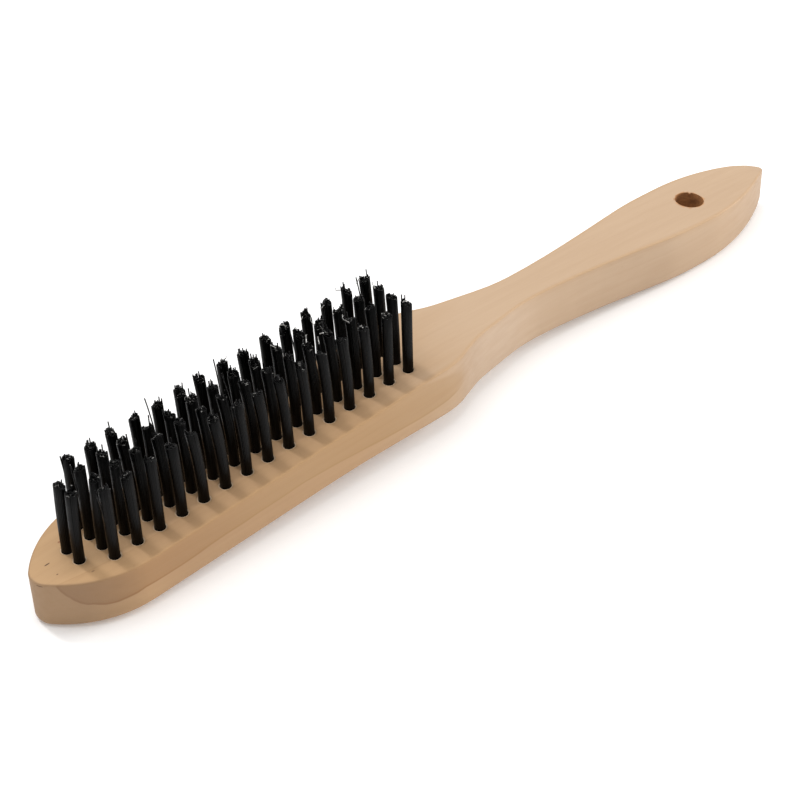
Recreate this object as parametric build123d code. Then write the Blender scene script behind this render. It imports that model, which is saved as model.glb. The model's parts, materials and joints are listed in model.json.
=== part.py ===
from build123d import *
from math import asin, atan2, cos, degrees, radians, sin, sqrt
import os

# A hand wire scratch brush: a one-piece beech back that runs on into a curved, pointed handle, with
# tufts of straight black steel wire set in drilled blind holes. Each tuft is a bundle of wires folded
# in two over a flat wire anchor, which is driven to the bottom of its hole.
#
# The brush is drawn in its own block frame, in millimetres: X from the tip of the toe to the tip of
# the tail, Z = 0 on the flat face that carries the tufts, Z up the wires. It is then laid on its back
# on the plane z = 0, where it rests on the toe and the tail, with its origin under the middle.

# Driving dimensions of the wooden back
LENGTH = 289.5
BLOCK_HALF_WIDTH = 15.3
BLOCK_THICKNESS = 15.2
TOE_ARCH_RADIUS = 32.4
TOE_ARCH_END = 26.2
TOE_NOSE_RADIUS = 5.5
TAIL_ARCH_RADIUS = 72.7
TAIL_ARCH_START = 251.2
TAIL_TIP_RADIUS = 1.4
BELLY_HALF_WIDTH = 11.65
TOP_EDGE_RADIUS = 0.6
BACK_EDGE_RADIUS = 1.15

# Half widths of the shoulder, the neck and the palm swell: (distance from the toe, half width)
SHOULDER_TO_BELLY = [
    (126, 15.2),
    (139, 14.0),
    (148, 10.7),
    (158, 8.6),
    (170, 6.6),
    (186, 6.45),
    (204, 7.8),
    (227, 10.4),
]
STRAIGHT_SIDE_END = 108.0
BLANK_DEPTH = 80.0

# Side view of the handle, which curves away from the wires: (distance from the toe, height)
FLAT_FACE_END = 120.0
HANDLE_TOP = [(165, -3.1), (213, -7.8), (252, -12.0), (276, -14.5), (283, -15.5), (291, -18.5)]
HANDLE_TOP_END_SLOPE = -0.55
FLAT_BACK_END = 88.0
HANDLE_BACK = [(126, -17.2), (165, -20.3), (213, -25.2), (252, -29.0), (295, -30.4)]
HANDLE_BACK_END_SLOPE = -0.05

# Hang hole, drilled straight up through the tail as the brush lies on its back
HANG_HOLE_RADIUS = 4.5
HANG_HOLE_FROM_TOE = 254.2

# Tuft field: four rows, the two outer ones start one column later because the toe narrows
COLUMNS = 16
COLUMN_PITCH = 7.4
ROW_PITCH = 5.1
FIRST_COLUMN = 13.0
ROWS = 4

# One tuft: a folded bundle that fills its hole and flares a little towards the trimmed ends
TUFT_BASE_RADIUS = 1.5
TUFT_TOP_RADIUS = 1.6
TUFT_TRIM = 24.0
HOLE_RADIUS = 1.55
HOLE_DEPTH = 10.5
FOLD_ROUNDING = 0.5

# One anchor: a flat wire staple that traps the fold, with its two ends pressed into the wood
ANCHOR_LENGTH = 4.0
ANCHOR_THICKNESS = 0.4
ANCHOR_HEIGHT = 2.0
ANCHOR_TURN = 35.0
ANCHOR_ABOVE_FLOOR = 0.4
ANCHOR_CLEARANCE = 0.05

ON_BASE = (Align.CENTER, Align.CENTER, Align.MIN)


def arch_point(x_widest, half_width, radius, angle, direction):
    """Point on an arch arc, a given angle past its widest station."""
    centre_y = half_width - radius
    return (x_widest + direction * radius * sin(radians(angle)), centre_y + radius * cos(radians(angle)))


def rounded_arch(x_widest, half_width, radius, nose, direction):
    """Half of a pointed arch with a rounded point: its long arc and then its nose arc."""
    inner = radius - nose
    centre_y = half_width - radius
    swing = degrees(asin(sqrt(inner**2 - centre_y**2) / inner))
    nose_x = x_widest + direction * inner * sin(radians(swing))
    arc_middle = arch_point(x_widest, half_width, radius, swing / 2, direction)
    arc_end = arch_point(x_widest, half_width, radius, swing, direction)
    half_turn = atan2(arc_end[1], direction * (arc_end[0] - nose_x)) / 2
    nose_middle = (nose_x + direction * nose * cos(half_turn), nose * sin(half_turn))
    tip = (nose_x + direction * nose, 0.0)
    return [
        ThreePointArc((x_widest, half_width), arc_middle, arc_end),
        ThreePointArc(arc_end, nose_middle, tip),
    ]


def half_outline():
    """Plan view of the far half, from the toe's point round to the tail's point."""
    toe = rounded_arch(TOE_ARCH_END, BLOCK_HALF_WIDTH, TOE_ARCH_RADIUS, TOE_NOSE_RADIUS, -1)
    tail = rounded_arch(TAIL_ARCH_START, BELLY_HALF_WIDTH, TAIL_ARCH_RADIUS, TAIL_TIP_RADIUS, 1)
    side_start = (TOE_ARCH_END, BLOCK_HALF_WIDTH)
    side_end = (STRAIGHT_SIDE_END, BLOCK_HALF_WIDTH)
    belly = (TAIL_ARCH_START, BELLY_HALF_WIDTH)
    side = Line(side_start, side_end)
    handle = Spline(side_end, *SHOULDER_TO_BELLY, belly, tangents=((1, 0), (1, 0)))
    return [*toe, side, handle, *tail]


def plan_face():
    """Plan view of the whole back."""
    far_half = half_outline()
    near_half = [edge.mirror(Plane.XZ) for edge in far_half]
    return make_face(Wire(far_half + near_half))


def back_line():
    """Underside of the back in side view, from where its flat stretch ends."""
    start = (FLAT_BACK_END, -BLOCK_THICKNESS)
    return Spline(start, *HANDLE_BACK, tangents=((1, 0), (1, HANDLE_BACK_END_SLOPE)))


def side_face():
    """Side view of the back: a flat block that curves down into the handle."""
    before_toe = -5.0
    top = Spline((FLAT_FACE_END, 0), *HANDLE_TOP, tangents=((1, 0), (1, HANDLE_TOP_END_SLOPE)))
    back = back_line()
    outline = [
        Line((before_toe, 0), (FLAT_FACE_END, 0)),
        top,
        Line(top @ 1, back @ 1),
        back,
        Line((FLAT_BACK_END, -BLOCK_THICKNESS), (before_toe, -BLOCK_THICKNESS)),
        Line((before_toe, -BLOCK_THICKNESS), (before_toe, 0)),
    ]
    return Plane.XZ * make_face(Wire(outline))


def long_edges(solid, facing):
    """The rim of the faces that look up (facing 1) or down (facing -1), without lines across."""
    faces = [f for f in solid.faces() if facing * f.normal_at().Z > 0.9]
    edges = ShapeList(e for f in faces for e in f.edges())
    return ShapeList(e for e in edges if abs(e.tangent_at(0.5).X) > 0.05)


def wooden_blank():
    """The back before drilling: plan and side views intersected, with its long edges rounded."""
    plan = extrude(Pos(0, 0, -BLANK_DEPTH / 2) * plan_face(), BLANK_DEPTH)
    side = extrude(side_face(), 2 * BLOCK_HALF_WIDTH, both=True)
    blank = (plan & side).solid()
    blank = blank.fillet(BACK_EDGE_RADIUS, long_edges(blank, -1))
    return blank.fillet(TOP_EDGE_RADIUS, long_edges(blank, 1))


def tuft_places():
    """Column, row and plan position of every tuft; the first column has only the two inner rows."""
    places = []
    for column in range(COLUMNS):
        rows = range(1, ROWS - 1) if column == 0 else range(ROWS)
        for row in rows:
            x = FIRST_COLUMN + column * COLUMN_PITCH
            y = (row - (ROWS - 1) / 2) * ROW_PITCH
            places.append((column, row, x, y))
    return places


def anchor():
    """One anchor on the Z axis, at its height in the hole."""
    base = -HOLE_DEPTH + ANCHOR_ABOVE_FLOOR
    plate = Box(ANCHOR_LENGTH, ANCHOR_THICKNESS, ANCHOR_HEIGHT, align=ON_BASE)
    return Pos(0, 0, base) * Rot(0, 0, ANCHOR_TURN) * plate


def anchor_room():
    """The cut that one anchor makes in the wood and between the wires' two legs."""
    grow = 2 * ANCHOR_CLEARANCE
    height = ANCHOR_HEIGHT + ANCHOR_ABOVE_FLOOR + ANCHOR_CLEARANCE
    room = Box(ANCHOR_LENGTH + grow, ANCHOR_THICKNESS + grow, height, align=ON_BASE)
    return Pos(0, 0, -HOLE_DEPTH) * Rot(0, 0, ANCHOR_TURN) * room


def tuft():
    """One folded bundle on the Z axis, slit at its foot where the anchor traps it."""
    foot = -HOLE_DEPTH + ANCHOR_CLEARANCE
    profile = Polyline(
        (0, foot),
        (TUFT_BASE_RADIUS - FOLD_ROUNDING, foot),
        (TUFT_BASE_RADIUS, foot + FOLD_ROUNDING),
        (TUFT_BASE_RADIUS, 0),
        (TUFT_TOP_RADIUS, TUFT_TRIM),
        (0, TUFT_TRIM),
        close=True,
    )
    bundle = revolve(Plane.XZ * make_face(profile), Axis.Z)
    return bundle - anchor_room()


def drilled_back(blank):
    """The back with its blind tuft holes and the slots that the anchors bite."""
    above = 1.0
    hole = Pos(0, 0, -HOLE_DEPTH) * Cylinder(HOLE_RADIUS, HOLE_DEPTH + above, align=ON_BASE)
    cut = hole + anchor_room()
    return blank - [Pos(x, y, 0) * cut for _, _, x, y in tuft_places()]


def resting_angle():
    """How far the block tips up, in degrees, when the brush lies on its toe and its tail."""
    steps = 200
    back = back_line()
    points = [back @ (i / steps) for i in range(steps + 1)]
    under = [p for p in points if p.X < LENGTH - TAIL_TIP_RADIUS - BACK_EDGE_RADIUS]
    return degrees(max(atan2(-BLOCK_THICKNESS - p.Y, p.X - TOE_NOSE_RADIUS) for p in under))


def lay_down(blank):
    """The move from the block frame to the row frame."""
    turned = Rot(0, -resting_angle(), 0)
    box = (turned * blank).bounding_box()
    return Pos(-box.center().X, 0, -box.min.Z) * turned


def main():
    os.makedirs("parts", exist_ok=True)
    blank = wooden_blank()
    laid = lay_down(blank)

    back = laid * drilled_back(blank)
    hole_place = laid * Pos(HANG_HOLE_FROM_TOE, 0, 0)
    drill = Pos(hole_place.position.X, 0, 0) * Cylinder(HANG_HOLE_RADIUS, BLANK_DEPTH)
    back = back - drill
    export_step(back, "parts/handle_block.step")

    one_tuft = tuft()
    one_anchor = anchor()
    tuft_nodes = {}
    anchor_nodes = {}
    for column, row, x, y in tuft_places():
        side = "near" if row < ROWS / 2 else "far"
        if column == 0:
            side = "toe"
        place = laid * Pos(x, y, 0)
        tuft_nodes.setdefault(f"tufts_{column + 1:02d}_{side}", []).append(place * one_tuft)
        anchor_nodes.setdefault(f"anchors_row_{row + 1}", []).append(place * one_anchor)
    for name, solids in (tuft_nodes | anchor_nodes).items():
        export_step(Compound(children=solids), f"parts/{name}.step")

    box = back.bounding_box()
    print("block tips up by", round(resting_angle(), 3), "degrees")
    print("row frame move", laid.position, laid.orientation)
    print("hang hole at X", round(hole_place.position.X, 3))
    print("wood", box.min, box.max)


main()
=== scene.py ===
"""Looks of a wooden wire scratch brush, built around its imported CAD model.

The wooden back and every tuft get a finer piece that stands for the CAD node: the back is a sanded
block with softened edges and real holes, and each tuft is a bundle of separate folded wires.
"""

import json
import math
import random

import bmesh
import bpy
import numpy as np
from mathutils import Matrix, Vector
from mathutils.bvhtree import BVHTree

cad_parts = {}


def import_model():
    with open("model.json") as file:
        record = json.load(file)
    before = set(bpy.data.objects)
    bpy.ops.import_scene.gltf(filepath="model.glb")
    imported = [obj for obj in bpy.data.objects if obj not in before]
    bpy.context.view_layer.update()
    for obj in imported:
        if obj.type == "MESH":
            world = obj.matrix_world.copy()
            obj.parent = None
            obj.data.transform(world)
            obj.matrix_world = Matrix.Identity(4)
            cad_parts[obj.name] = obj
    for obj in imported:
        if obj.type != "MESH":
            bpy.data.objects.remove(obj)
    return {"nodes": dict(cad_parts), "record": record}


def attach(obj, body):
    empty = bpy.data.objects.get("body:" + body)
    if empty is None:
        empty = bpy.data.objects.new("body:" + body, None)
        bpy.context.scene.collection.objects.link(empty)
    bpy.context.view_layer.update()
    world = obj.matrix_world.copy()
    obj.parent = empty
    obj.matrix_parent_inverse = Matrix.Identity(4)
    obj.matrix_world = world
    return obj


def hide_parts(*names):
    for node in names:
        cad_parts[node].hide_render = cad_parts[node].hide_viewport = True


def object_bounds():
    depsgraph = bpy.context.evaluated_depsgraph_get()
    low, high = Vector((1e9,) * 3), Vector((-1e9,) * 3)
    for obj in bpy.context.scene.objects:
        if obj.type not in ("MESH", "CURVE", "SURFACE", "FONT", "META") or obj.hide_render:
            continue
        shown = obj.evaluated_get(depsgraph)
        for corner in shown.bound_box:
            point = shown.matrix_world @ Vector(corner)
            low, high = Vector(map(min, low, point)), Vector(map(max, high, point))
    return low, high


MM = 0.001

# Camera, in the row frame
CAMERA_AIM = (-32.09 * MM, -15.48 * MM, 21.45 * MM)
CAMERA_AZIMUTH = 45.54
CAMERA_ELEVATION = 38.38
CAMERA_ROLL = 1.15
CAMERA_DISTANCE = 607.6 * MM
CAMERA_LENS = 99.8
CAMERA_SENSOR = 36.0

# Light: name, place, aim, diameter and power of each round area light, and the studio's own glow
LIGHTS = (
    ("key", (-0.22, 0.70, 1.20), (0, 0, 0), 0.14, 5.0),
    ("overhead", (-0.20, 0.20, 1.50), (0, 0, 0), 1.2, 8.0),
    ("tail_side", (1.19, -0.39, 0.34), (0, 0, 0.01), 0.6, 13.6),
)
STUDIO_GLOW = 0.62
FLOOR_HALF_SIZE = 6.0
FLOOR_GLOW = 0.11

# Wooden back: mesh steps, rounded edges and the unevenness that sanding leaves
STATION_STEP = 1.0 * MM
TIP_STEP = 0.12 * MM
TIP_STEP_GROWTH = 1.18
TIP_ZONE = 4.0 * MM
TIP_INSET = 1.6 * MM
TIP_MARGIN = 0.004 * MM
PROFILE_SMOOTHING = 6
TOP_EDGE = 0.55 * MM
BACK_EDGE = 1.9 * MM
ACROSS = 26
SIDE_ROWS = 9
EDGE_STEPS = (0.0, 0.05, 0.15, 0.3, 0.5, 0.75, 1.0)
SIDE_WAVE = 0.06 * MM
TOP_WAVE = 0.03 * MM
TOP_PHASE = 0.4
BACK_PHASE = 2.4
FAR_SIDE_PHASE = 5.0
NEAR_SIDE_PHASE = 7.0
SHARP_ANGLE = 32

# Wood colours
PALE = (0.515, 0.365, 0.240)
TAN = (0.465, 0.288, 0.153)
# Painted light: the toe end is painted a paler tan, as if more light fell on it
TOE_PAINTED_LIGHT = (0.560, 0.350, 0.180)
BROWN = (0.290, 0.165, 0.085)
ZONE_BROWN = (0.375, 0.220, 0.085)
TOE_BROWN = (0.26, 0.09, 0.02)
NECK_PALE = (0.62, 0.50, 0.40)
ARRIS_ORANGE = (0.45, 0.265, 0.118)
# End grain's own browner colour, also used as painted shade on the faces that point along the block
END_GRAIN_AND_SHADE_BROWN = (0.225, 0.145, 0.09)
TORN_PALE = (0.70, 0.53, 0.36)
BORED = ((0.50, 0.240, 0.090), (0.26, 0.115, 0.045))

# How strongly the broad bands, late wood, streaks, fibres and flecks brown the wood
FIGURE_STRENGTHS = (0.10, 0.05, 0.06, 0.08, 0.12)

# Wood figure, in millimetres: the pith (across, above the wire face) and the browner zone around
# it, which widens toward the toe and the neck and ends in a rounded tongue before the neck
PITH = (-22.0, 3.0)
INNER_ZONE = 13.3
ZONE_WIDER_AT_TOE = 4.0
ZONE_WIDER_AT_NECK = 3.2
ZONE_END = 141.0
ZONE_END_BLUR = 3.0
ZONE_END_DEPTH = 8.0
ZONE_END_CURVE = 0.36
ZONE_WAVER = 2.2
ZONE_STRENGTH = 0.78
RING_SCALE = 0.085

# Small dark marks: (from the toe, across, above the wire face), half sizes, strength, colour
WOOD_MARKS = (
    ((6.2, 2.0, 0.0), (1.1, 0.32, 3.0), 0.9, (0.08, 0.040, 0.02)),
    ((5.9, -2.7, 0.0), (0.45, 0.30, 3.0), 0.75, (0.12, 0.060, 0.03)),
    ((13.3, 6.4, 0.0), (0.60, 0.45, 3.0), 0.7, (0.27, 0.080, 0.03)),
    ((13.0, -8.2, 0.0), (0.70, 0.40, 3.0), 0.6, (0.20, 0.110, 0.06)),
    ((0.2, -2.3, -0.65), (2.5, 1.50, 0.26), 0.8, (0.13, 0.070, 0.04)),
)

# Holes: the tufts' blind holes with their torn rims, and the hang hole with its one splinter
HOLE_SIDES = 28
TUFT_HOLE_GROW = 0.10 * MM
TUFT_HOLE_FUZZ = 0.04 * MM
TUFT_HOLE_DEPTH = 10.5 * MM
HOLE_RIM = 0.36 * MM
HOLE_RIM_DEPTH = 0.13 * MM
RIM_SLOPE = (0.3, 0.985)
TORN_REACH = 2.2 * MM
BORED_REACH = 0.08 * MM
HANG_HOLE_SIDES = 96
HANG_HOLE_FUZZ = (-0.02 * MM, 0.05 * MM)
DRILL_REACH = 40 * MM
SPLINTER_ANGLE = 39
SPLINTER_WIDTH = 3.6
SPLINTER = 0.85 * MM
SPLINTER_DEPTH = 1.0 * MM

# Wires: how many stand on each ring of a tuft, and the ring's radius as a share of the outer one
WIRE_RINGS = ((1, 0.0), (5, 0.235), (10, 0.455), (17, 0.735), (23, 1.0))
WIRE_RADIUS = 0.18 * MM
WORN_RADIUS = 0.13 * MM
WIRE_SIDES = 6
LEG_STEPS = 6
FOLD_DEPTH = 10.2 * MM
ANCHOR_DEPTH = 7.6 * MM
ANCHOR_GAP = 0.40 * MM
ANCHOR_TURN = 35

# Random spread of the wires: where they stand, how they widen, lean and bow toward their ends
FOOT_JITTER = 0.012 * MM
WIDER_ABOVE = (-0.06, 0.04)
TUFT_LEAN = 0.25 * MM
WIRE_LEAN = 0.03 * MM
WIRE_BOW = 0.02 * MM

# How much the shading of a wire follows the round outside of its tuft
TUFT_ROUNDNESS = 1.7

# Cut ends: how slanted and ragged they are, and the spikes and the notches
CUT_SLOPE = 0.42
CUT_JITTER = 0.17 * MM
TRIM_DROP = 0.9 * MM
TALLEST_OVER_TRIM = 1.8 * MM
RAGGED_NEAR = 0.6
RAGGED_FAR = 0.9
LONE_SPIKE_CHANCE = 0.07
SPIKE = (0.6 * MM, 2.0 * MM)
SPIKE_REACH = 0.62 * MM
NOTCH = (0.4 * MM, 1.5 * MM)
NOTCH_REACH = 0.95 * MM

# Lean of a tuft over its height: of all tufts, and what the near, toe and far ones add to it
MEAN_LEAN = (-0.35 * MM, 0.10 * MM)
NEAR_LEAN = (-0.75 * MM, 0.75 * MM)
TOE_LEAN = (0.8 * MM, -0.8 * MM)
TOE_LEAN_FADE = 6
FAR_LEAN = 0.45 * MM

# Stray and bent wires, at most one of each in a tuft
STRAY_CHANCE = 0.45
STRAY_REACH = (0.7 * MM, 1.9 * MM)
STRAY_LONGER = (1.0 * MM, 2.7 * MM)
BENT_REACH = (1.2 * MM, 3.0 * MM)
BENT_CHANCE = 0.15
BENT_CHANCE_AT_TAIL = 0.75
SEED = 7


# ---------------------------------------------------------------- frame helpers


def block_move(record):
    """The turn from the block's own frame, where its wire face is level, to the row frame."""
    axis = next(m for m in record["mounts"] if m["name"] == "block_back")["axis"]
    tilt = math.atan2(axis[0], -axis[2])
    return Matrix.Rotation(-tilt, 4, "Y")


def node_points(node, inverse):
    """A CAD node's vertices in the block frame."""
    return np.array([inverse @ v.co for v in node.data.vertices])


def new_object(name, mesh):
    obj = bpy.data.objects.new(name, mesh)
    bpy.context.scene.collection.objects.link(obj)
    return obj


def mesh_from(name, verts, faces, smooth=True):
    mesh = bpy.data.meshes.new(name)
    mesh.from_pydata([tuple(v) for v in verts], [], faces)
    mesh.validate()
    if smooth:
        mesh.polygons.foreach_set("use_smooth", [True] * len(mesh.polygons))
    mesh.update()
    return mesh


# ---------------------------------------------------------------- the wooden back


class BackShape:
    """Reads the outline and the two long profiles of the CAD back, in the block frame."""

    def __init__(self, node, inverse, hang_x, hang_r):
        mesh = node.data
        verts = [inverse @ v.co for v in mesh.vertices]
        self.tree = BVHTree.FromPolygons(verts, [tuple(p.vertices) for p in mesh.polygons])
        co = np.array(verts)
        self.low = co.min(0)
        self.high = co.max(0)
        self.hang_x = hang_x
        self.hang_r = hang_r

    def probe_y(self, x):
        """A line along the back that misses every hole."""
        return self.hang_r + 0.8 * MM if abs(x - self.hang_x) < self.hang_r + 0.6 * MM else 0.0

    def heights(self, x):
        y = self.probe_y(x)
        top = self.tree.ray_cast(Vector((x, y, 1.0)), Vector((0, 0, -1)))[0]
        back = self.tree.ray_cast(Vector((x, y, -1.0)), Vector((0, 0, 1)))[0]
        if top is None or back is None:
            return None
        return top.z, back.z

    def heights_to_tip(self, x, inset):
        """Heights that run straight on over the last stretch, where the CAD's edges are rounded."""
        inner = min(max(x, self.low[0] + inset), self.high[0] - inset)
        near = self.heights(inner)
        if inner == x:
            return near
        step = math.copysign(1.0 * MM, inner - x)
        far = self.heights(inner + step)
        return tuple(a + (a - b) * (inner - x) / step for a, b in zip(near, far))

    def half_width(self, x, z):
        hit = self.tree.ray_cast(Vector((x, 1.0, z)), Vector((0, -1, 0)))[0]
        return max(hit.y, 0.0) if hit else 0.0


def stations(low, high):
    """Places along the back, close together at its two tips."""
    fine = TIP_STEP
    xs = [0.0]
    while xs[-1] < TIP_ZONE:
        xs.append(xs[-1] + fine)
        fine = min(fine * TIP_STEP_GROWTH, STATION_STEP)
    tip = np.array(xs)
    count = int((high - low - 2 * tip[-1]) / STATION_STEP)
    middle = np.linspace(low + tip[-1], high - tip[-1], count + 1)[1:-1]
    return np.concatenate([low + tip, middle, (high - tip)[::-1]])


def smooth_line(values, passes):
    """Evens out a sampled profile, keeping its ends."""
    v = np.array(values)
    for _ in range(passes):
        v[1:-1] = 0.25 * v[:-2] + 0.5 * v[1:-1] + 0.25 * v[2:]
    return v


def rounding(distance, radius):
    """How far a rounded edge falls below its face, at a distance in from the outline."""
    d = np.clip(radius - distance, 0, radius)
    return radius - np.sqrt(np.maximum(radius**2 - d**2, 0))


def plan_distance(px, py, xs, widths):
    """Distance from plan points to the outline."""
    ax, ay = xs[:-1], widths[:-1]
    dx, dy = np.diff(xs), np.diff(widths)
    length = dx * dx + dy * dy
    best = np.full(px.shape, 1e9)
    for i in range(len(ax)):
        t = np.clip(((px - ax[i]) * dx[i] + (py - ay[i]) * dy[i]) / length[i], 0, 1)
        best = np.minimum(best, np.hypot(px - ax[i] - t * dx[i], py - ay[i] - t * dy[i]))
    return best


def wave(x, y, z, phase):
    """A slow, shallow unevenness, as sanding leaves it, between 0 and 1."""
    a = np.sin(x * 95 + phase) * np.cos(y * 210 + 1.3 * phase)
    b = np.sin(x * 231 + z * 160 + 2.1 * phase) * np.cos(z * 320 + y * 90)
    return 0.5 + 0.5 * (0.6 * a + 0.4 * b)


def side_points(x, width, high_z, low_z, shares, side, phase):
    """One station's points down or up one side face, a little hollowed."""
    points = []
    for t in shares:
        z = high_z + (low_z - high_z) * t
        dent = SIDE_WAVE * wave(x, side * 0.01, z, phase) * math.sin(math.pi * t)
        points.append((x, side * max(width - dent, 0.0), z))
    return points


def wooden_back(shape):
    """The sanded back in the block frame, before its holes: one closed loop of points a station."""
    xs = stations(shape.low[0] + TIP_MARGIN, shape.high[0] - TIP_MARGIN)
    tops, backs, widths = [], [], []
    for x in xs:
        top, back = shape.heights_to_tip(x, TIP_INSET)
        tops.append(top)
        backs.append(back)
        widths.append(shape.half_width(x, (top + back) / 2))
    tops = smooth_line(tops, PROFILE_SMOOTHING)
    backs = smooth_line(backs, PROFILE_SMOOTHING)
    widths = np.array(widths)
    widths[0] = 0.0
    widths[-1] = 0.0

    edge = np.array(EDGE_STEPS)
    inset_back = edge * BACK_EDGE
    inset_top = edge * TOP_EDGE
    rows = []
    for inset in (inset_top, inset_back):
        per_station = []
        for w in widths:
            scale = min(1.0, 0.8 * w / inset[-1])
            near_edge = w - inset * scale
            flat = np.linspace(near_edge[-1], -near_edge[-1], ACROSS)[1:-1]
            per_station.append(np.concatenate([near_edge, flat, -near_edge[::-1]]))
        rows.append(np.array(per_station))
    top_y, back_y = rows
    grid_x_top = np.repeat(xs[:, None], top_y.shape[1], axis=1)
    grid_x_back = np.repeat(xs[:, None], back_y.shape[1], axis=1)
    dist_top = plan_distance(grid_x_top, np.abs(top_y), xs, widths)
    dist_back = plan_distance(grid_x_back, np.abs(back_y), xs, widths)
    top_z = tops[:, None] - rounding(dist_top, TOP_EDGE)
    back_z = backs[:, None] + rounding(dist_back, BACK_EDGE)
    top_z -= TOP_WAVE * wave(grid_x_top, top_y, 0 * top_y, TOP_PHASE) * (dist_top > 0)
    back_z += SIDE_WAVE * wave(grid_x_back, back_y, 0 * back_y, BACK_PHASE) * (dist_back > 0)

    side_t = np.linspace(0, 1, SIDE_ROWS + 2)[1:-1]
    rings = []
    for i, x in enumerate(xs):
        ring = [(x, y, z) for y, z in zip(top_y[i][::-1], top_z[i][::-1])]
        high_z, low_z = top_z[i][0], back_z[i][0]
        ring += side_points(x, widths[i], high_z, low_z, side_t, 1, FAR_SIDE_PHASE)
        ring += [(x, y, z) for y, z in zip(back_y[i], back_z[i])]
        ring += side_points(x, widths[i], high_z, low_z, side_t[::-1], -1, NEAR_SIDE_PHASE)
        rings.append(ring)
    count = len(rings[0])
    verts = [p for ring in rings for p in ring]
    faces = []
    for i in range(len(rings) - 1):
        for j in range(count):
            k = (j + 1) % count
            faces.append((i * count + j, (i + 1) * count + j, (i + 1) * count + k, i * count + k))
    mesh = mesh_from("wooden_back", verts, faces)
    bm = bmesh.new()
    bm.from_mesh(mesh)
    bmesh.ops.remove_doubles(bm, verts=bm.verts, dist=0.004 * MM)
    bmesh.ops.dissolve_degenerate(bm, edges=bm.edges, dist=0.001 * MM)
    bmesh.ops.recalc_face_normals(bm, faces=bm.faces)
    bm.to_mesh(mesh)
    bm.free()
    return mesh


def drill(centre, rings):
    """A closed cutter; each ring is (its radius at every angle, its height), from the bottom up."""
    count = len(rings[0][0])
    verts = []
    for radii, z in rings:
        for i, r in enumerate(radii):
            a = 2 * math.pi * i / count
            verts.append((centre[0] + r * math.cos(a), centre[1] + r * math.sin(a), z))
    faces = []
    for k in range(len(rings) - 1):
        for i in range(count):
            n = (i + 1) % count
            faces.append((k * count + i, k * count + n, (k + 1) * count + n, (k + 1) * count + i))
    faces.append(tuple(reversed(range(count))))
    faces.append(tuple(range((len(rings) - 1) * count, len(rings) * count)))
    return verts, faces


def hang_hole_rings(radius, rim, rng):
    """The hang hole's wall: round, a little fuzzy, with one splinter left standing at its rim."""
    plain, splintered = [], []
    for i in range(HANG_HOLE_SIDES):
        off = (360 * i / HANG_HOLE_SIDES - SPLINTER_ANGLE) / SPLINTER_WIDTH
        r = radius + rng.uniform(*HANG_HOLE_FUZZ)
        plain.append(r)
        splintered.append(r - SPLINTER * math.exp(-off * off))
    return (
        (plain, -DRILL_REACH),
        (plain, rim - SPLINTER_DEPTH),
        (splintered, rim - 0.5 * SPLINTER_DEPTH),
        (splintered, DRILL_REACH),
    )


def cut_holes(back, tufts, surface, hang, hang_r, hang_length, rng):
    """Drills the tuft holes and the hang hole, all in the block frame."""
    verts, faces = [], []
    above = 1.0 * MM
    for centre, radius in tufts:
        wall = radius + TUFT_HOLE_GROW
        radii = [wall + rng.uniform(-TUFT_HOLE_FUZZ, TUFT_HOLE_FUZZ) for _ in range(HOLE_SIDES)]
        rings = (
            (radii, surface - TUFT_HOLE_DEPTH),
            (radii, surface - HOLE_RIM_DEPTH),
            ([r + HOLE_RIM for r in radii], surface),
            ([r + HOLE_RIM + above for r in radii], surface + above),
        )
        v, f = drill(centre, rings)
        faces += [tuple(k + len(verts) for k in face) for face in f]
        verts += v
    carve(back, new_object("cutter", mesh_from("cutter", verts, faces, smooth=False)))
    start, axis = hang
    v, f = drill((0, 0), hang_hole_rings(hang_r, hang_length / 2, rng))
    turn = Vector((0, 0, 1)).rotation_difference(axis).to_matrix().to_4x4()
    place = Matrix.Translation(start) @ turn
    mesh = mesh_from("hang", [place @ Vector(p) for p in v], f, smooth=False)
    carve(back, new_object("cutter_hang", mesh))


def carve(obj, cutter):
    """Takes the cutter out of obj, and throws the cutter away."""
    cut = obj.modifiers.new("cut", "BOOLEAN")
    cut.operation = "DIFFERENCE"
    cut.solver = "EXACT"
    cut.object = cutter
    graph = bpy.context.evaluated_depsgraph_get()
    mesh = bpy.data.meshes.new_from_object(obj.evaluated_get(graph))
    obj.modifiers.clear()
    old = obj.data
    obj.data = mesh
    bpy.data.meshes.remove(old)
    bpy.data.objects.remove(cutter)


# ---------------------------------------------------------------- tufts


def tuft_solids(node, inverse):
    """The tufts of one node in the block frame: centre, foot and top radius, and trimmed height."""
    co = node_points(node, inverse)
    middle = (co[:, 1].min() + co[:, 1].max()) / 2
    found = []
    for part in (co[co[:, 1] < middle], co[co[:, 1] >= middle]):
        top = part[:, 2].max()
        foot = part[part[:, 2] < part[:, 2].min() + 2 * MM]
        centre = (part.min(0) + part.max(0)) / 2
        radius = (foot[:, 0].max() - foot[:, 0].min()) / 2
        top_radius = (part[:, 0].max() - part[:, 0].min()) / 2
        found.append((centre[0], centre[1], radius, top_radius, top))
    return found


def packed_rings(radius, rng):
    """Where the wires of one tuft stand: close rings, each turned at random."""
    points = []
    for count, share in WIRE_RINGS:
        turn = rng.uniform(0, 2 * math.pi)
        for i in range(count):
            a = turn + 2 * math.pi * i / count
            r = radius * share + rng.gauss(0, FOOT_JITTER)
            points.append(Vector((r * math.cos(a), r * math.sin(a))))
    return points


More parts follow.
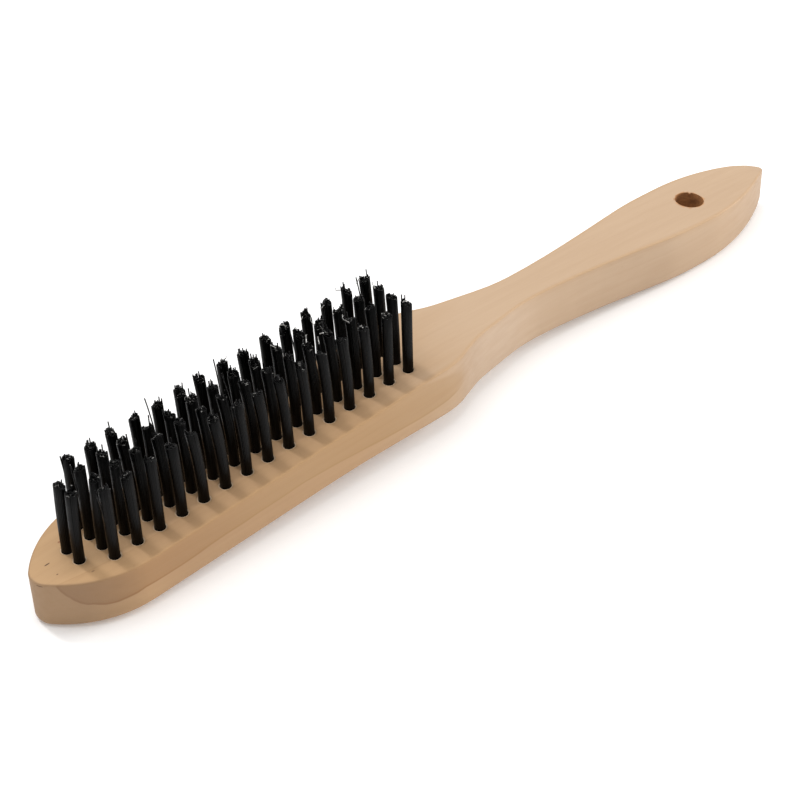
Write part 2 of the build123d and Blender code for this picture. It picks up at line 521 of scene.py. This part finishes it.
def tube(path, radius, parts, worn_from=None):
    """Adds one wire along a path, with flat cut ends, to the node's parts."""
    verts, faces = parts["verts"], parts["faces"]
    base = len(verts)
    previous = None
    for i, p in enumerate(path):
        ahead = path[min(i + 1, len(path) - 1)] - path[max(i - 1, 0)]
        ahead.normalize()
        if previous is None:
            side = ahead.orthogonal().normalized()
        else:
            side = (previous - ahead * previous.dot(ahead)).normalized()
        previous = side
        other = ahead.cross(side)
        r = WORN_RADIUS if worn_from is not None and i > worn_from else radius
        for k in range(WIRE_SIDES):
            a = 2 * math.pi * k / WIRE_SIDES
            verts.append(p + side * (r * math.cos(a)) + other * (r * math.sin(a)))
    for i in range(len(path) - 1):
        for k in range(WIRE_SIDES):
            n = (k + 1) % WIRE_SIDES
            a = base + i * WIRE_SIDES
            if worn_from is not None and i >= worn_from:
                parts["worn"].append(len(faces))
            faces.append((a + k, a + n, a + WIRE_SIDES + n, a + WIRE_SIDES + k))
    last = base + (len(path) - 1) * WIRE_SIDES
    for first in (base, last):
        ring = [first + k for k in range(WIRE_SIDES)]
        parts["cut"].append(len(faces))
        faces.append(tuple(reversed(ring)) if first == base else tuple(ring))


def leg(foot, offset, length, surface, bow):
    """Points of one wire leg from the surface up to its cut end."""
    points = []
    for i in range(LEG_STEPS + 1):
        t = i / LEG_STEPS
        side = foot + offset * t * t + bow * math.sin(math.pi * t)
        points.append(Vector((side.x, side.y, surface + length * t)))
    return points


def bent_end(tip, rng):
    """The last stretch of a wire that use has bent over: a hook, an elbow or a curl."""
    a = rng.uniform(0, 2 * math.pi)
    out = Vector((math.cos(a), math.sin(a), 0))
    up = Vector((0, 0, 1))
    reach = rng.uniform(*BENT_REACH)
    kind = rng.choice(("hook", "hook", "elbow", "elbow", "curl"))
    if kind == "hook":
        rise = rng.uniform(-0.5, 0.4)
        shoulder = tip + out * reach * 0.4 + up * 0.3 * MM
        return [shoulder, tip + out * reach + up * (0.3 * MM + rise * reach)]
    if kind == "elbow":
        corner = tip + out * reach + up * 0.2 * MM
        end = corner + up * rng.uniform(0.5, 1.7) * MM
        return [tip + out * 0.3 * MM + up * 0.2 * MM, corner, end]
    r = rng.uniform(0.4, 0.75) * MM
    turns = [math.radians(d) for d in range(45, 46 + rng.choice((180, 270)), 45)]
    sway = Vector((-out.y, out.x, 0)) * 0.25 * MM
    return [tip + out * r * (1 - math.cos(t)) + up * r * math.sin(t) + sway * t for t in turns]


def fold(first, second, normal, centre, surface):
    """The part of a wire that goes down one side of the anchor, under it and up the other side."""
    down = []
    for foot in (first, second):
        off = foot.dot(normal)
        clear = math.copysign(max(abs(off), ANCHOR_GAP), off if off else 1)
        at = foot + normal * (clear - off) + centre
        down.append(Vector((at.x, at.y, surface - ANCHOR_DEPTH)))
    low = surface - FOLD_DEPTH
    middle = (down[0] + down[1]) / 2
    bends = [Vector((p.x, p.y, low + 0.25 * MM)) for p in down]
    return [down[0], bends[0], Vector((middle.x, middle.y, low)), bends[1], down[1]]


def trimmed_top(outer, ragged, rng):
    """Tells how much longer a wire is than the mean: the cut slants and has spikes and notches."""
    slope = Vector((rng.gauss(0, CUT_SLOPE), rng.gauss(0, CUT_SLOPE))) * ragged
    marks = []
    for size, reach, sign, count in (
        (SPIKE, SPIKE_REACH, 1, rng.randint(2, 5)),
        (NOTCH, NOTCH_REACH, -1, rng.randint(0, 2)),
    ):
        for _ in range(count):
            a = rng.uniform(0, 2 * math.pi)
            at = Vector((math.cos(a), math.sin(a))) * outer * rng.uniform(0.6, 1.0)
            marks.append((at, reach, sign * rng.uniform(*size) * ragged))

    def longer(foot):
        extra = slope.dot(foot) + rng.gauss(0, CUT_JITTER) * ragged
        if rng.random() < LONE_SPIKE_CHANCE * ragged:
            extra += rng.uniform(*SPIKE)
        for at, reach, size in marks:
            extra += size * max(0.0, 1 - (foot - at).length / reach)
        return extra

    return longer


def wire_tuft(solid, surface, far, toward_tail, rng, parts):
    """One bundle of folded wires standing in its hole."""
    cx, cy, radius, top_radius, top = solid
    centre = Vector((cx, cy))
    outer = radius - WIRE_RADIUS
    trim = top - surface - TRIM_DROP
    spread = (top_radius - radius) / radius + rng.uniform(*WIDER_ABOVE)
    lean = Vector((rng.gauss(0, TUFT_LEAN), rng.gauss(0, TUFT_LEAN))) + Vector(MEAN_LEAN)
    lean += Vector(TOE_LEAN) * max(0.0, 1 - TOE_LEAN_FADE * toward_tail)
    if far:
        lean.y += FAR_LEAN
    else:
        lean += Vector(NEAR_LEAN) * math.sin(math.pi * toward_tail)
    longer = trimmed_top(outer, RAGGED_FAR if far else RAGGED_NEAR, rng)
    turn = math.radians(ANCHOR_TURN)
    normal = Vector((-math.sin(turn), math.cos(turn)))
    along = Vector((normal.y, -normal.x))
    feet = sorted(packed_rings(outer, rng), key=lambda p: p.dot(normal))
    half = len(feet) // 2
    lower = sorted(feet[:half], key=lambda p: p.dot(along))
    upper = sorted(feet[half:], key=lambda p: p.dot(along))
    stray = rng.randrange(half) if rng.random() < STRAY_CHANCE else None
    bent_chance = BENT_CHANCE + (BENT_CHANCE_AT_TAIL - BENT_CHANCE) * toward_tail
    bent = rng.randrange(half) if rng.random() < bent_chance else None
    for number, pair in enumerate(zip(lower, upper)):
        legs = []
        worn = None
        for side, foot in enumerate(pair):
            length = trim + longer(foot)
            offset = lean + foot * spread
            offset += Vector((rng.gauss(0, WIRE_LEAN), rng.gauss(0, WIRE_LEAN)))
            bow = Vector((rng.gauss(0, WIRE_BOW), rng.gauss(0, WIRE_BOW)))
            if number == stray and side == 1:
                offset += foot.normalized() * rng.uniform(*STRAY_REACH)
                length = trim + rng.uniform(*STRAY_LONGER)
            length = min(length, top - surface + TALLEST_OVER_TRIM)
            points = leg(foot, offset, length, surface, bow)
            if number == bent and side == 1:
                worn = LEG_STEPS
                points += bent_end(points[-1], rng)
            legs.append([Vector((p.x + cx, p.y + cy, p.z)) for p in points])
        path = legs[0][::-1] + fold(*pair, normal, centre, surface) + legs[1]
        worn_from = None if worn is None else len(path) - (len(legs[1]) - worn)
        first = len(parts["verts"])
        tube(path, WIRE_RADIUS, parts, worn_from)
        alone = number in (stray, bent)
        for v in parts["verts"][first:]:
            t = max(0.0, (v.z - surface) / trim)
            out = Vector((v.x - cx - lean.x * t * t, v.y - cy - lean.y * t * t, 0))
            parts["outward"].append(Vector() if alone else out.normalized())


# ---------------------------------------------------------------- materials


class Tree:
    """A small helper that adds and links shader nodes."""

    def __init__(self, name):
        self.material = bpy.data.materials.new(name)
        self.material.use_nodes = True
        self.nodes = self.material.node_tree.nodes
        self.links = self.material.node_tree.links
        self.nodes.clear()
        self.shader = self.nodes.new("ShaderNodeBsdfPrincipled")
        self.output = self.nodes.new("ShaderNodeOutputMaterial")
        self.links.new(self.shader.outputs["BSDF"], self.output.inputs["Surface"])
        self.coords = self.nodes.new("ShaderNodeTexCoord")

    def add(self, kind, inputs=None, **settings):
        node = self.nodes.new(kind)
        for key, value in settings.items():
            setattr(node, key, value)
        for key, value in (inputs or {}).items():
            self.feed(node.inputs[key], value)
        return node

    def feed(self, socket, value):
        if isinstance(value, bpy.types.NodeSocket):
            self.links.new(value, socket)
        else:
            socket.default_value = value

    def place(self, scale, location=(0, 0, 0), rotation=(0, 0, 0)):
        """Object coordinates in millimetres, stretched."""
        inputs = {
            "Vector": self.coords.outputs["Object"],
            "Scale": (1 / MM, 1 / MM, 1 / MM),
            "Location": location,
            "Rotation": rotation,
        }
        to_mm = self.add("ShaderNodeMapping", inputs)
        stretched = self.add("ShaderNodeMapping", {"Vector": to_mm.outputs[0], "Scale": scale})
        return stretched.outputs[0]

    def noise(self, scale, detail, roughness=0.55):
        inputs = {
            "Vector": self.place(scale),
            "Scale": 1.0,
            "Detail": detail,
            "Roughness": roughness,
        }
        return self.add("ShaderNodeTexNoise", inputs).outputs["Fac"]

    def ramp(self, value, stops):
        node = self.add("ShaderNodeValToRGB", {"Fac": value})
        ramp = node.color_ramp
        while len(ramp.elements) > 1:
            ramp.elements.remove(ramp.elements[-1])
        for i, (at, colour) in enumerate(stops):
            stop = ramp.elements[0] if i == 0 else ramp.elements.new(at)
            stop.position = at
            stop.color = (*colour, 1) if isinstance(colour, tuple) else (colour, colour, colour, 1)
        return node.outputs["Color"]

    def mix(self, factor, a, b):
        node = self.add("ShaderNodeMix", data_type="RGBA", blend_type="MIX")
        self.feed(node.inputs["Factor"], factor)
        for socket, value in ((node.inputs["A"], a), (node.inputs["B"], b)):
            if isinstance(value, tuple):
                value = (*value, 1)
            self.feed(socket, value)
        return node.outputs["Result"]

    def between(self, value, start, end, at_start, at_end, smooth=True):
        """Goes from one number to another while the value crosses a stretch."""
        settings = {"interpolation_type": "SMOOTHSTEP"} if smooth else {}
        inputs = {
            "Value": value,
            "From Min": start,
            "From Max": end,
            "To Min": at_start,
            "To Max": at_end,
        }
        return self.add("ShaderNodeMapRange", inputs, **settings).outputs[0]

    def maths(self, operation, a, b=0.0):
        return self.add("ShaderNodeMath", {0: a, 1: b}, operation=operation).outputs[0]

    def stain(self, colour, mask, strength, tone):
        """Lays a tone over a colour where a mask says, at a strength."""
        return self.mix(self.maths("MULTIPLY", mask, strength), colour, tone)

    def painted(self, name):
        """A mesh attribute as a mask."""
        return self.add("ShaderNodeAttribute", attribute_name=name).outputs["Fac"]


def ring_figure(t, pith, tilt):
    """The late wood of the year rings, which run almost along the block."""
    inputs = {
        "Vector": t.place((0.16, 1, 1), location=pith, rotation=(0, tilt, 0.006)),
        "Scale": RING_SCALE,
        "Distortion": 3.2,
        "Detail": 2.0,
        "Detail Scale": 0.25,
        "Detail Roughness": 0.5,
    }
    looks = {"wave_type": "RINGS", "rings_direction": "X", "wave_profile": "SAW"}
    rings = t.add("ShaderNodeTexWave", inputs, **looks).outputs["Fac"]
    return t.ramp(rings, [(0.0, 0.0), (0.45, 0.06), (0.85, 0.55), (0.96, 1.0), (1.0, 0.0)])


def browner_zone(t, pith, tilt, surface, from_toe):
    """The zone round the pith, with a fine dark line along its boundary."""
    waver = t.maths("SUBTRACT", t.noise((0.022, 0.12, 0.12), detail=3), 0.5)
    waver = t.maths("MULTIPLY", waver, ZONE_WAVER)
    from_line = t.place((0, 1, 1), location=pith, rotation=(0, tilt, 0.0))
    from_pith = t.add("ShaderNodeVectorMath", {0: from_line}, operation="LENGTH").outputs["Value"]
    wider = t.maths(
        "ADD",
        t.between(from_toe, 2.0, 24.0, ZONE_WIDER_AT_TOE, 0.0, smooth=False),
        t.between(from_toe, 75.0, 130.0, 0.0, ZONE_WIDER_AT_NECK),
    )
    from_pith = t.maths("SUBTRACT", t.maths("ADD", from_pith, waver), wider)
    share = t.maths("DIVIDE", from_pith, 2 * INNER_ZONE)
    zone = t.ramp(share, [(0.0, 0.47), (0.43, 0.49), (0.470, 0.56), (0.487, 1.0), (0.498, 0.0)])

    block_place = t.place((1, 1, 1), location=(0, 0, -surface / MM), rotation=(0, tilt, 0))
    height = t.add("ShaderNodeSeparateXYZ", {"Vector": block_place}).outputs["Z"]
    from_middle = t.maths("ADD", height, ZONE_END_DEPTH)
    bulge = t.maths("MULTIPLY", t.maths("MULTIPLY", from_middle, from_middle), ZONE_END_CURVE)
    to_end = t.maths("ADD", t.maths("ADD", from_toe, bulge), t.maths("MULTIPLY", waver, 1.5))
    before_end = t.between(to_end, ZONE_END - ZONE_END_BLUR, ZONE_END + ZONE_END_BLUR, 1.0, 0.0)
    return t.maths("MULTIPLY", zone, before_end)


def wood_material(tilt, toe_x, face_z, surface):
    """Beech: tan at the toe, paler at the tail, with rings, streaks, fibres and a browner zone."""
    t = Tree("pale_beech")
    along = t.add("ShaderNodeSeparateXYZ", {"Vector": t.place((1, 1, 1))}).outputs["X"]
    from_toe = t.maths("SUBTRACT", along, toe_x / MM)
    facing = t.add("ShaderNodeSeparateXYZ", {"Vector": t.coords.outputs["Normal"]})
    facing_up = t.maths("ABSOLUTE", facing.outputs["Z"])
    on_side = t.ramp(facing_up, [(0.4, 1.0), (0.9, 0.0)])
    mostly_side = t.ramp(facing_up, [(0.4, 1.0), (0.9, 0.2)])
    pith = (0, -PITH[0], -(surface / MM + PITH[1]))

    drift = t.maths("MULTIPLY", t.noise((0.02, 0.08, 0.08), detail=2), 50.0)
    toward_tail = t.maths("SUBTRACT", t.maths("ADD", along, drift), 25.0)
    colour = t.mix(t.between(toward_tail, -48.0, 12.0, 0.0, 1.0), TAN, PALE)
    # Painted light: the wood is painted paler toward the toe end
    colour = t.mix(t.between(from_toe, 12.0, 40.0, 1.0, 0.0), colour, TOE_PAINTED_LIGHT)

    late_wood = ring_figure(t, pith, tilt)
    broad = t.ramp(t.noise((0.008, 0.06, 0.06), detail=3), [(0.35, 0.0), (0.65, 1.0)])
    streaks = t.noise((0.022, 0.60, 0.60), detail=6, roughness=0.6)
    streaks = t.ramp(streaks, [(0.38, 0.0), (0.66, 1.0)])
    fibre = t.noise((0.10, 3.6, 3.6), detail=3, roughness=0.5)
    flecks = t.ramp(t.noise((0.42, 3.4, 3.4), detail=1.0), [(0.70, 0.0), (0.76, 1.0)])

    zone = browner_zone(t, pith, tilt, surface, from_toe)
    zone = t.maths("MULTIPLY", t.maths("MULTIPLY", zone, ZONE_STRENGTH), mostly_side)
    colour = t.mix(zone, colour, ZONE_BROWN)
    colour = t.stain(colour, t.between(from_toe, 8.0, 75.0, 0.9, 0.0), zone, TOE_BROWN)
    colour = t.stain(colour, on_side, t.between(from_toe, 8.0, 95.0, 0.15, 0.0), BROWN)
    neck_start = t.between(from_toe, 136.0, 150.0, 0.0, 0.25)
    neck_end = t.between(from_toe, 158.0, 188.0, 1.0, 0.0)
    colour = t.stain(colour, on_side, t.maths("MULTIPLY", neck_start, neck_end), NECK_PALE)
    for mask, strength in zip((broad, late_wood, streaks, fibre, flecks), FIGURE_STRENGTHS):
        colour = t.stain(colour, mask, strength, BROWN)
    colour = t.stain(colour, t.painted("arris"), 0.55, ARRIS_ORANGE)
    # Faces that point along the block are browned: end grain, and painted shade that darkens the
    # toe's end face
    end_grain_and_shade = t.ramp(t.maths("ABSOLUTE", facing.outputs["X"]), [(0.06, 0.0), (0.55, 1.0)])
    colour = t.stain(colour, end_grain_and_shade, 0.55, END_GRAIN_AND_SHADE_BROWN)

    for (x, y, z), half, strength, tone in WOOD_MARKS:
        centre = (-(toe_x / MM + x), -y, -(face_z / MM + z))
        spot_at = t.place(tuple(1 / h for h in half), location=centre)
        far = t.add("ShaderNodeVectorMath", {0: spot_at}, operation="LENGTH").outputs["Value"]
        frayed = t.maths("ADD", far, t.maths("MULTIPLY", fibre, 0.5))
        spot = t.ramp(frayed, [(0.85, strength), (1.25, 0.0)])
        colour = t.mix(spot, colour, tone)

    colour = t.stain(colour, t.painted("torn"), 0.72, TORN_PALE)
    colour = t.stain(colour, t.painted("bored"), 0.92, t.mix(streaks, *BORED))
    t.feed(t.shader.inputs["Base Color"], colour)

    t.feed(t.shader.inputs["Roughness"], t.ramp(streaks, [(0.0, 0.56), (1.0, 0.68)]))
    t.shader.inputs["Specular IOR Level"].default_value = 0.3
    grain = t.maths("ADD", t.maths("MULTIPLY", fibre, 0.6), t.maths("MULTIPLY", streaks, -0.35))
    bump = t.add("ShaderNodeBump", {"Height": grain, "Strength": 0.22, "Distance": 0.00012})
    t.feed(t.shader.inputs["Normal"], bump.outputs[0])
    return t.material


def wire_material():
    """Black wires that lie so close that a tuft shines as one round bundle."""
    t = Tree("black_wire")
    streak = t.noise((1.4, 1.4, 0.05), detail=3)
    colour = t.mix(streak, (0.0003, 0.0003, 0.0003), (0.001, 0.001, 0.001))
    t.feed(t.shader.inputs["Base Color"], colour)
    t.feed(t.shader.inputs["Roughness"], t.ramp(streak, [(0.3, 0.21), (0.7, 0.34)]))
    t.shader.inputs["Specular IOR Level"].default_value = 0.11
    outward = t.add("ShaderNodeAttribute", attribute_name="outward").outputs["Vector"]
    tuft_side = t.add(
        "ShaderNodeVectorMath", {0: outward, "Scale": TUFT_ROUNDNESS}, operation="SCALE"
    ).outputs["Vector"]
    wire_side = t.coords.outputs["Normal"]
    both = t.add("ShaderNodeVectorMath", {0: tuft_side, 1: wire_side}, operation="ADD")
    normal = t.add("ShaderNodeVectorMath", {0: both.outputs["Vector"]}, operation="NORMALIZE")
    t.feed(t.shader.inputs["Normal"], normal.outputs["Vector"])
    return t.material


def cut_end_material():
    """The flat cut ends of the wires, bright in places."""
    t = Tree("cut_wire_end")
    spots = t.noise((0.9, 0.9, 0.9), detail=2)
    worn = t.ramp(spots, [(0.58, 0.0), (0.68, 1.0)])
    t.feed(t.shader.inputs["Base Color"], t.mix(worn, (0.012, 0.012, 0.012), (0.42, 0.41, 0.39)))
    t.feed(t.shader.inputs["Roughness"], t.ramp(spots, [(0.2, 0.30), (0.8, 0.45)]))
    t.shader.inputs["Metallic"].default_value = 0.85
    return t.material


def worn_wire_material():
    """Bent wire ends, rubbed bright."""
    t = Tree("worn_wire")
    rub = t.noise((1.2, 1.2, 1.2), detail=2)
    t.feed(t.shader.inputs["Base Color"], t.mix(rub, (0.10, 0.098, 0.093), (0.72, 0.70, 0.67)))
    t.feed(t.shader.inputs["Roughness"], t.ramp(rub, [(0.3, 0.25), (0.7, 0.40)]))
    t.shader.inputs["Metallic"].default_value = 0.9
    return t.material


def anchor_material():
    """The bright flat wire of the anchors."""
    t = Tree("anchor_wire")
    grain = t.noise((0.6, 4, 4), detail=3)
    t.feed(t.shader.inputs["Base Color"], t.mix(grain, (0.40, 0.40, 0.39), (0.62, 0.61, 0.60)))
    t.feed(t.shader.inputs["Roughness"], t.ramp(grain, [(0.3, 0.3), (0.7, 0.5)]))
    t.shader.inputs["Metallic"].default_value = 1.0
    return t.material


def floor_material():
    """A pale, dull floor that glows faintly, so that shadows on it stay light."""
    t = Tree("pale_floor")
    colour = t.mix(t.noise((0.02, 0.02, 0.02), detail=2), (0.95, 0.95, 0.95), (0.96, 0.96, 0.96))
    t.feed(t.shader.inputs["Base Color"], colour)
    t.shader.inputs["Roughness"].default_value = 0.9
    t.shader.inputs["Specular IOR Level"].default_value = 0.1
    t.shader.inputs["Emission Color"].default_value = (1, 1, 1, 1)
    t.shader.inputs["Emission Strength"].default_value = FLOOR_GLOW
    return t.material


# ---------------------------------------------------------------- surroundings


def make_camera():
    azimuth, elevation = math.radians(CAMERA_AZIMUTH), math.radians(CAMERA_ELEVATION)
    flat = math.cos(elevation)
    back = Vector((-math.cos(azimuth) * flat, -math.sin(azimuth) * flat, math.sin(elevation)))
    right = (-back).cross(Vector((0, 0, 1))).normalized()
    up = back.cross(right)
    roll = math.radians(CAMERA_ROLL)
    x_axis = right * math.cos(roll) + up * math.sin(roll)
    y_axis = up * math.cos(roll) - right * math.sin(roll)
    data = bpy.data.cameras.new("camera")
    data.lens = CAMERA_LENS
    data.sensor_width = CAMERA_SENSOR
    data.clip_start = 0.01
    data.clip_end = 20
    obj = bpy.data.objects.new("camera", data)
    bpy.context.scene.collection.objects.link(obj)
    place = Vector(CAMERA_AIM) + back * CAMERA_DISTANCE
    obj.matrix_world = Matrix(
        (
            (x_axis.x, y_axis.x, back.x, place.x),
            (x_axis.y, y_axis.y, back.y, place.y),
            (x_axis.z, y_axis.z, back.z, place.z),
            (0, 0, 0, 1),
        )
    )
    bpy.context.scene.camera = obj


def area_light(name, place, aim, size, power):
    data = bpy.data.lights.new(name, "AREA")
    data.shape = "DISK"
    data.size = size
    data.energy = power
    obj = bpy.data.objects.new(name, data)
    bpy.context.scene.collection.objects.link(obj)
    obj.location = place
    obj.rotation_euler = (Vector(aim) - Vector(place)).to_track_quat("-Z", "Y").to_euler()


def make_lights():
    for name, place, aim, size, power in LIGHTS:
        area_light(name, place, aim, size, power)
    world = bpy.data.worlds.new("studio")
    world.use_nodes = True
    background = world.node_tree.nodes["Background"]
    background.inputs["Color"].default_value = (1, 1, 1, 1)
    background.inputs["Strength"].default_value = STUDIO_GLOW
    bpy.context.scene.world = world


def make_floor():
    size = FLOOR_HALF_SIZE
    verts = [(-size, -size, 0), (size, -size, 0), (size, size, 0), (-size, size, 0)]
    floor = new_object("floor", mesh_from("floor", verts, [(0, 1, 2, 3)], smooth=False))
    floor.data.materials.append(floor_material())


# ---------------------------------------------------------------- assembly


def mark_wood(mesh, surface, shape, tufts, hang, hang_r):
    """Attributes that the wood's material reads: the long top edge, the drilled wall, torn rims."""
    count = len(mesh.vertices)
    co = np.zeros(count * 3)
    mesh.vertices.foreach_get("co", co)
    co = co.reshape(-1, 3)
    start, axis = hang
    rel = co - np.array(start)
    along = rel @ np.array(axis)
    radial = np.linalg.norm(rel - along[:, None] * np.array(axis)[None, :], axis=1)
    bored = (radial < hang_r + BORED_REACH).astype(float)
    arris = np.zeros(count)
    for i, (x, y, z) in enumerate(co):
        top, back = shape.heights_to_tip(x, TIP_INSET)
        drop = top - z
        if -0.1 * MM < drop < TOP_EDGE * 1.2:
            inset = shape.half_width(x, (top + back) / 2) - abs(y)
            if inset < TOP_EDGE * 1.2:
                arris[i] = 1.0 - abs(drop - 0.4 * TOP_EDGE) / (0.9 * TOP_EDGE)
    torn = np.zeros(len(mesh.polygons))
    centres = np.array([c for c, _ in tufts])
    for i, face in enumerate(mesh.polygons):
        z = face.center.z
        on_rim = surface - HOLE_RIM_DEPTH < z < surface + 0.02 * MM
        if on_rim and RIM_SLOPE[0] < face.normal.z < RIM_SLOPE[1]:
            near = np.hypot(centres[:, 0] - face.center.x, centres[:, 1] - face.center.y).min()
            torn[i] = 1.0 if near < TORN_REACH else 0.0
    for name, domain, values in (
        ("bored", "POINT", bored),
        ("arris", "POINT", np.clip(arris, 0, 1)),
        ("torn", "FACE", torn),
    ):
        attribute = mesh.attributes.new(name, "FLOAT", domain)
        attribute.data.foreach_set("value", values.astype(np.float32))


def smooth_by_angle(mesh, degrees):
    """Smooth shading with sharp rims."""
    mesh.polygons.foreach_set("use_smooth", [True] * len(mesh.polygons))
    bm = bmesh.new()
    bm.from_mesh(mesh)
    limit = math.radians(degrees)
    for edge in bm.edges:
        edge.smooth = not (len(edge.link_faces) == 2 and edge.calc_face_angle(0) > limit)
    bm.to_mesh(mesh)
    bm.free()


def main():
    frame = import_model()
    cad_low, cad_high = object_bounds()
    record = frame["record"]
    nodes = frame["nodes"]
    rng = random.Random(SEED)

    make_camera()
    make_lights()
    make_floor()

    to_row = block_move(record)
    to_block = to_row.inverted()
    hang_mount = next(m for m in record["mounts"] if m["name"] == "hang_hole")
    hang_r = hang_mount["dims"]["r_mm"] * MM
    start = to_block @ Vector(hang_mount["pos_m"])
    axis = (to_block.to_3x3() @ Vector(hang_mount["axis"])).normalized()
    shape = BackShape(nodes["handle_block"], to_block, start.x, hang_r)
    tuft_nodes = sorted(n for n in nodes if n.startswith("tufts_"))
    solids = {n: tuft_solids(nodes[n], to_block) for n in tuft_nodes}
    first = solids[tuft_nodes[0]][0]
    surface = shape.heights(first[0])[0]

    back = new_object("wooden_back", wooden_back(shape))
    holes = [((s[0], s[1]), s[2]) for group in solids.values() for s in group]
    hang_length = hang_mount["dims"]["length_mm"] * MM
    cut_holes(back, holes, surface, (start, axis), hang_r, hang_length, rng)
    smooth_by_angle(back.data, SHARP_ANGLE)
    mark_wood(back.data, surface, shape, holes, (start, axis), hang_r)
    back.data.transform(to_row)
    back.data.materials.clear()
    tilt = to_block.to_euler().y
    face_z = (to_row @ Vector((shape.low[0], 0, surface))).z
    back.data.materials.append(wood_material(tilt, cad_low.x, face_z, surface))
    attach(back, "root")
    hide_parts("handle_block")

    wire_looks = (wire_material(), cut_end_material(), worn_wire_material())
    field_start = min(s[0] for group in solids.values() for s in group)
    field_length = max(s[0] for group in solids.values() for s in group) - field_start
    for name in tuft_nodes:
        parts = {"verts": [], "faces": [], "cut": [], "worn": [], "outward": []}
        for solid in solids[name]:
            toward_tail = (solid[0] - field_start) / field_length
            wire_tuft(solid, surface, name.endswith("_far"), toward_tail, rng, parts)
        mesh = mesh_from(name.replace("tufts", "wires"), parts["verts"], parts["faces"])
        for look in wire_looks:
            mesh.materials.append(look)
        slots = np.zeros(len(mesh.polygons), dtype=np.int32)
        slots[parts["cut"]] = 1
        slots[parts["worn"]] = 2
        mesh.polygons.foreach_set("material_index", slots)
        mesh.transform(to_row)
        outward = mesh.attributes.new("outward", "FLOAT_VECTOR", "POINT")
        turned = [to_row.to_3x3() @ v for v in parts["outward"]]
        outward.data.foreach_set("vector", np.array(turned, dtype=np.float32).ravel())
        wires = new_object(name.replace("tufts", "wires"), mesh)
        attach(wires, "root")
        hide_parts(name)

    steel = anchor_material()
    for name in nodes:
        if name.startswith("anchors_"):
            nodes[name].data.materials.clear()
            nodes[name].data.materials.append(steel)

    scene = bpy.context.scene
    scene.view_settings.view_transform = "Standard"
    scene.view_settings.look = "None"


main()
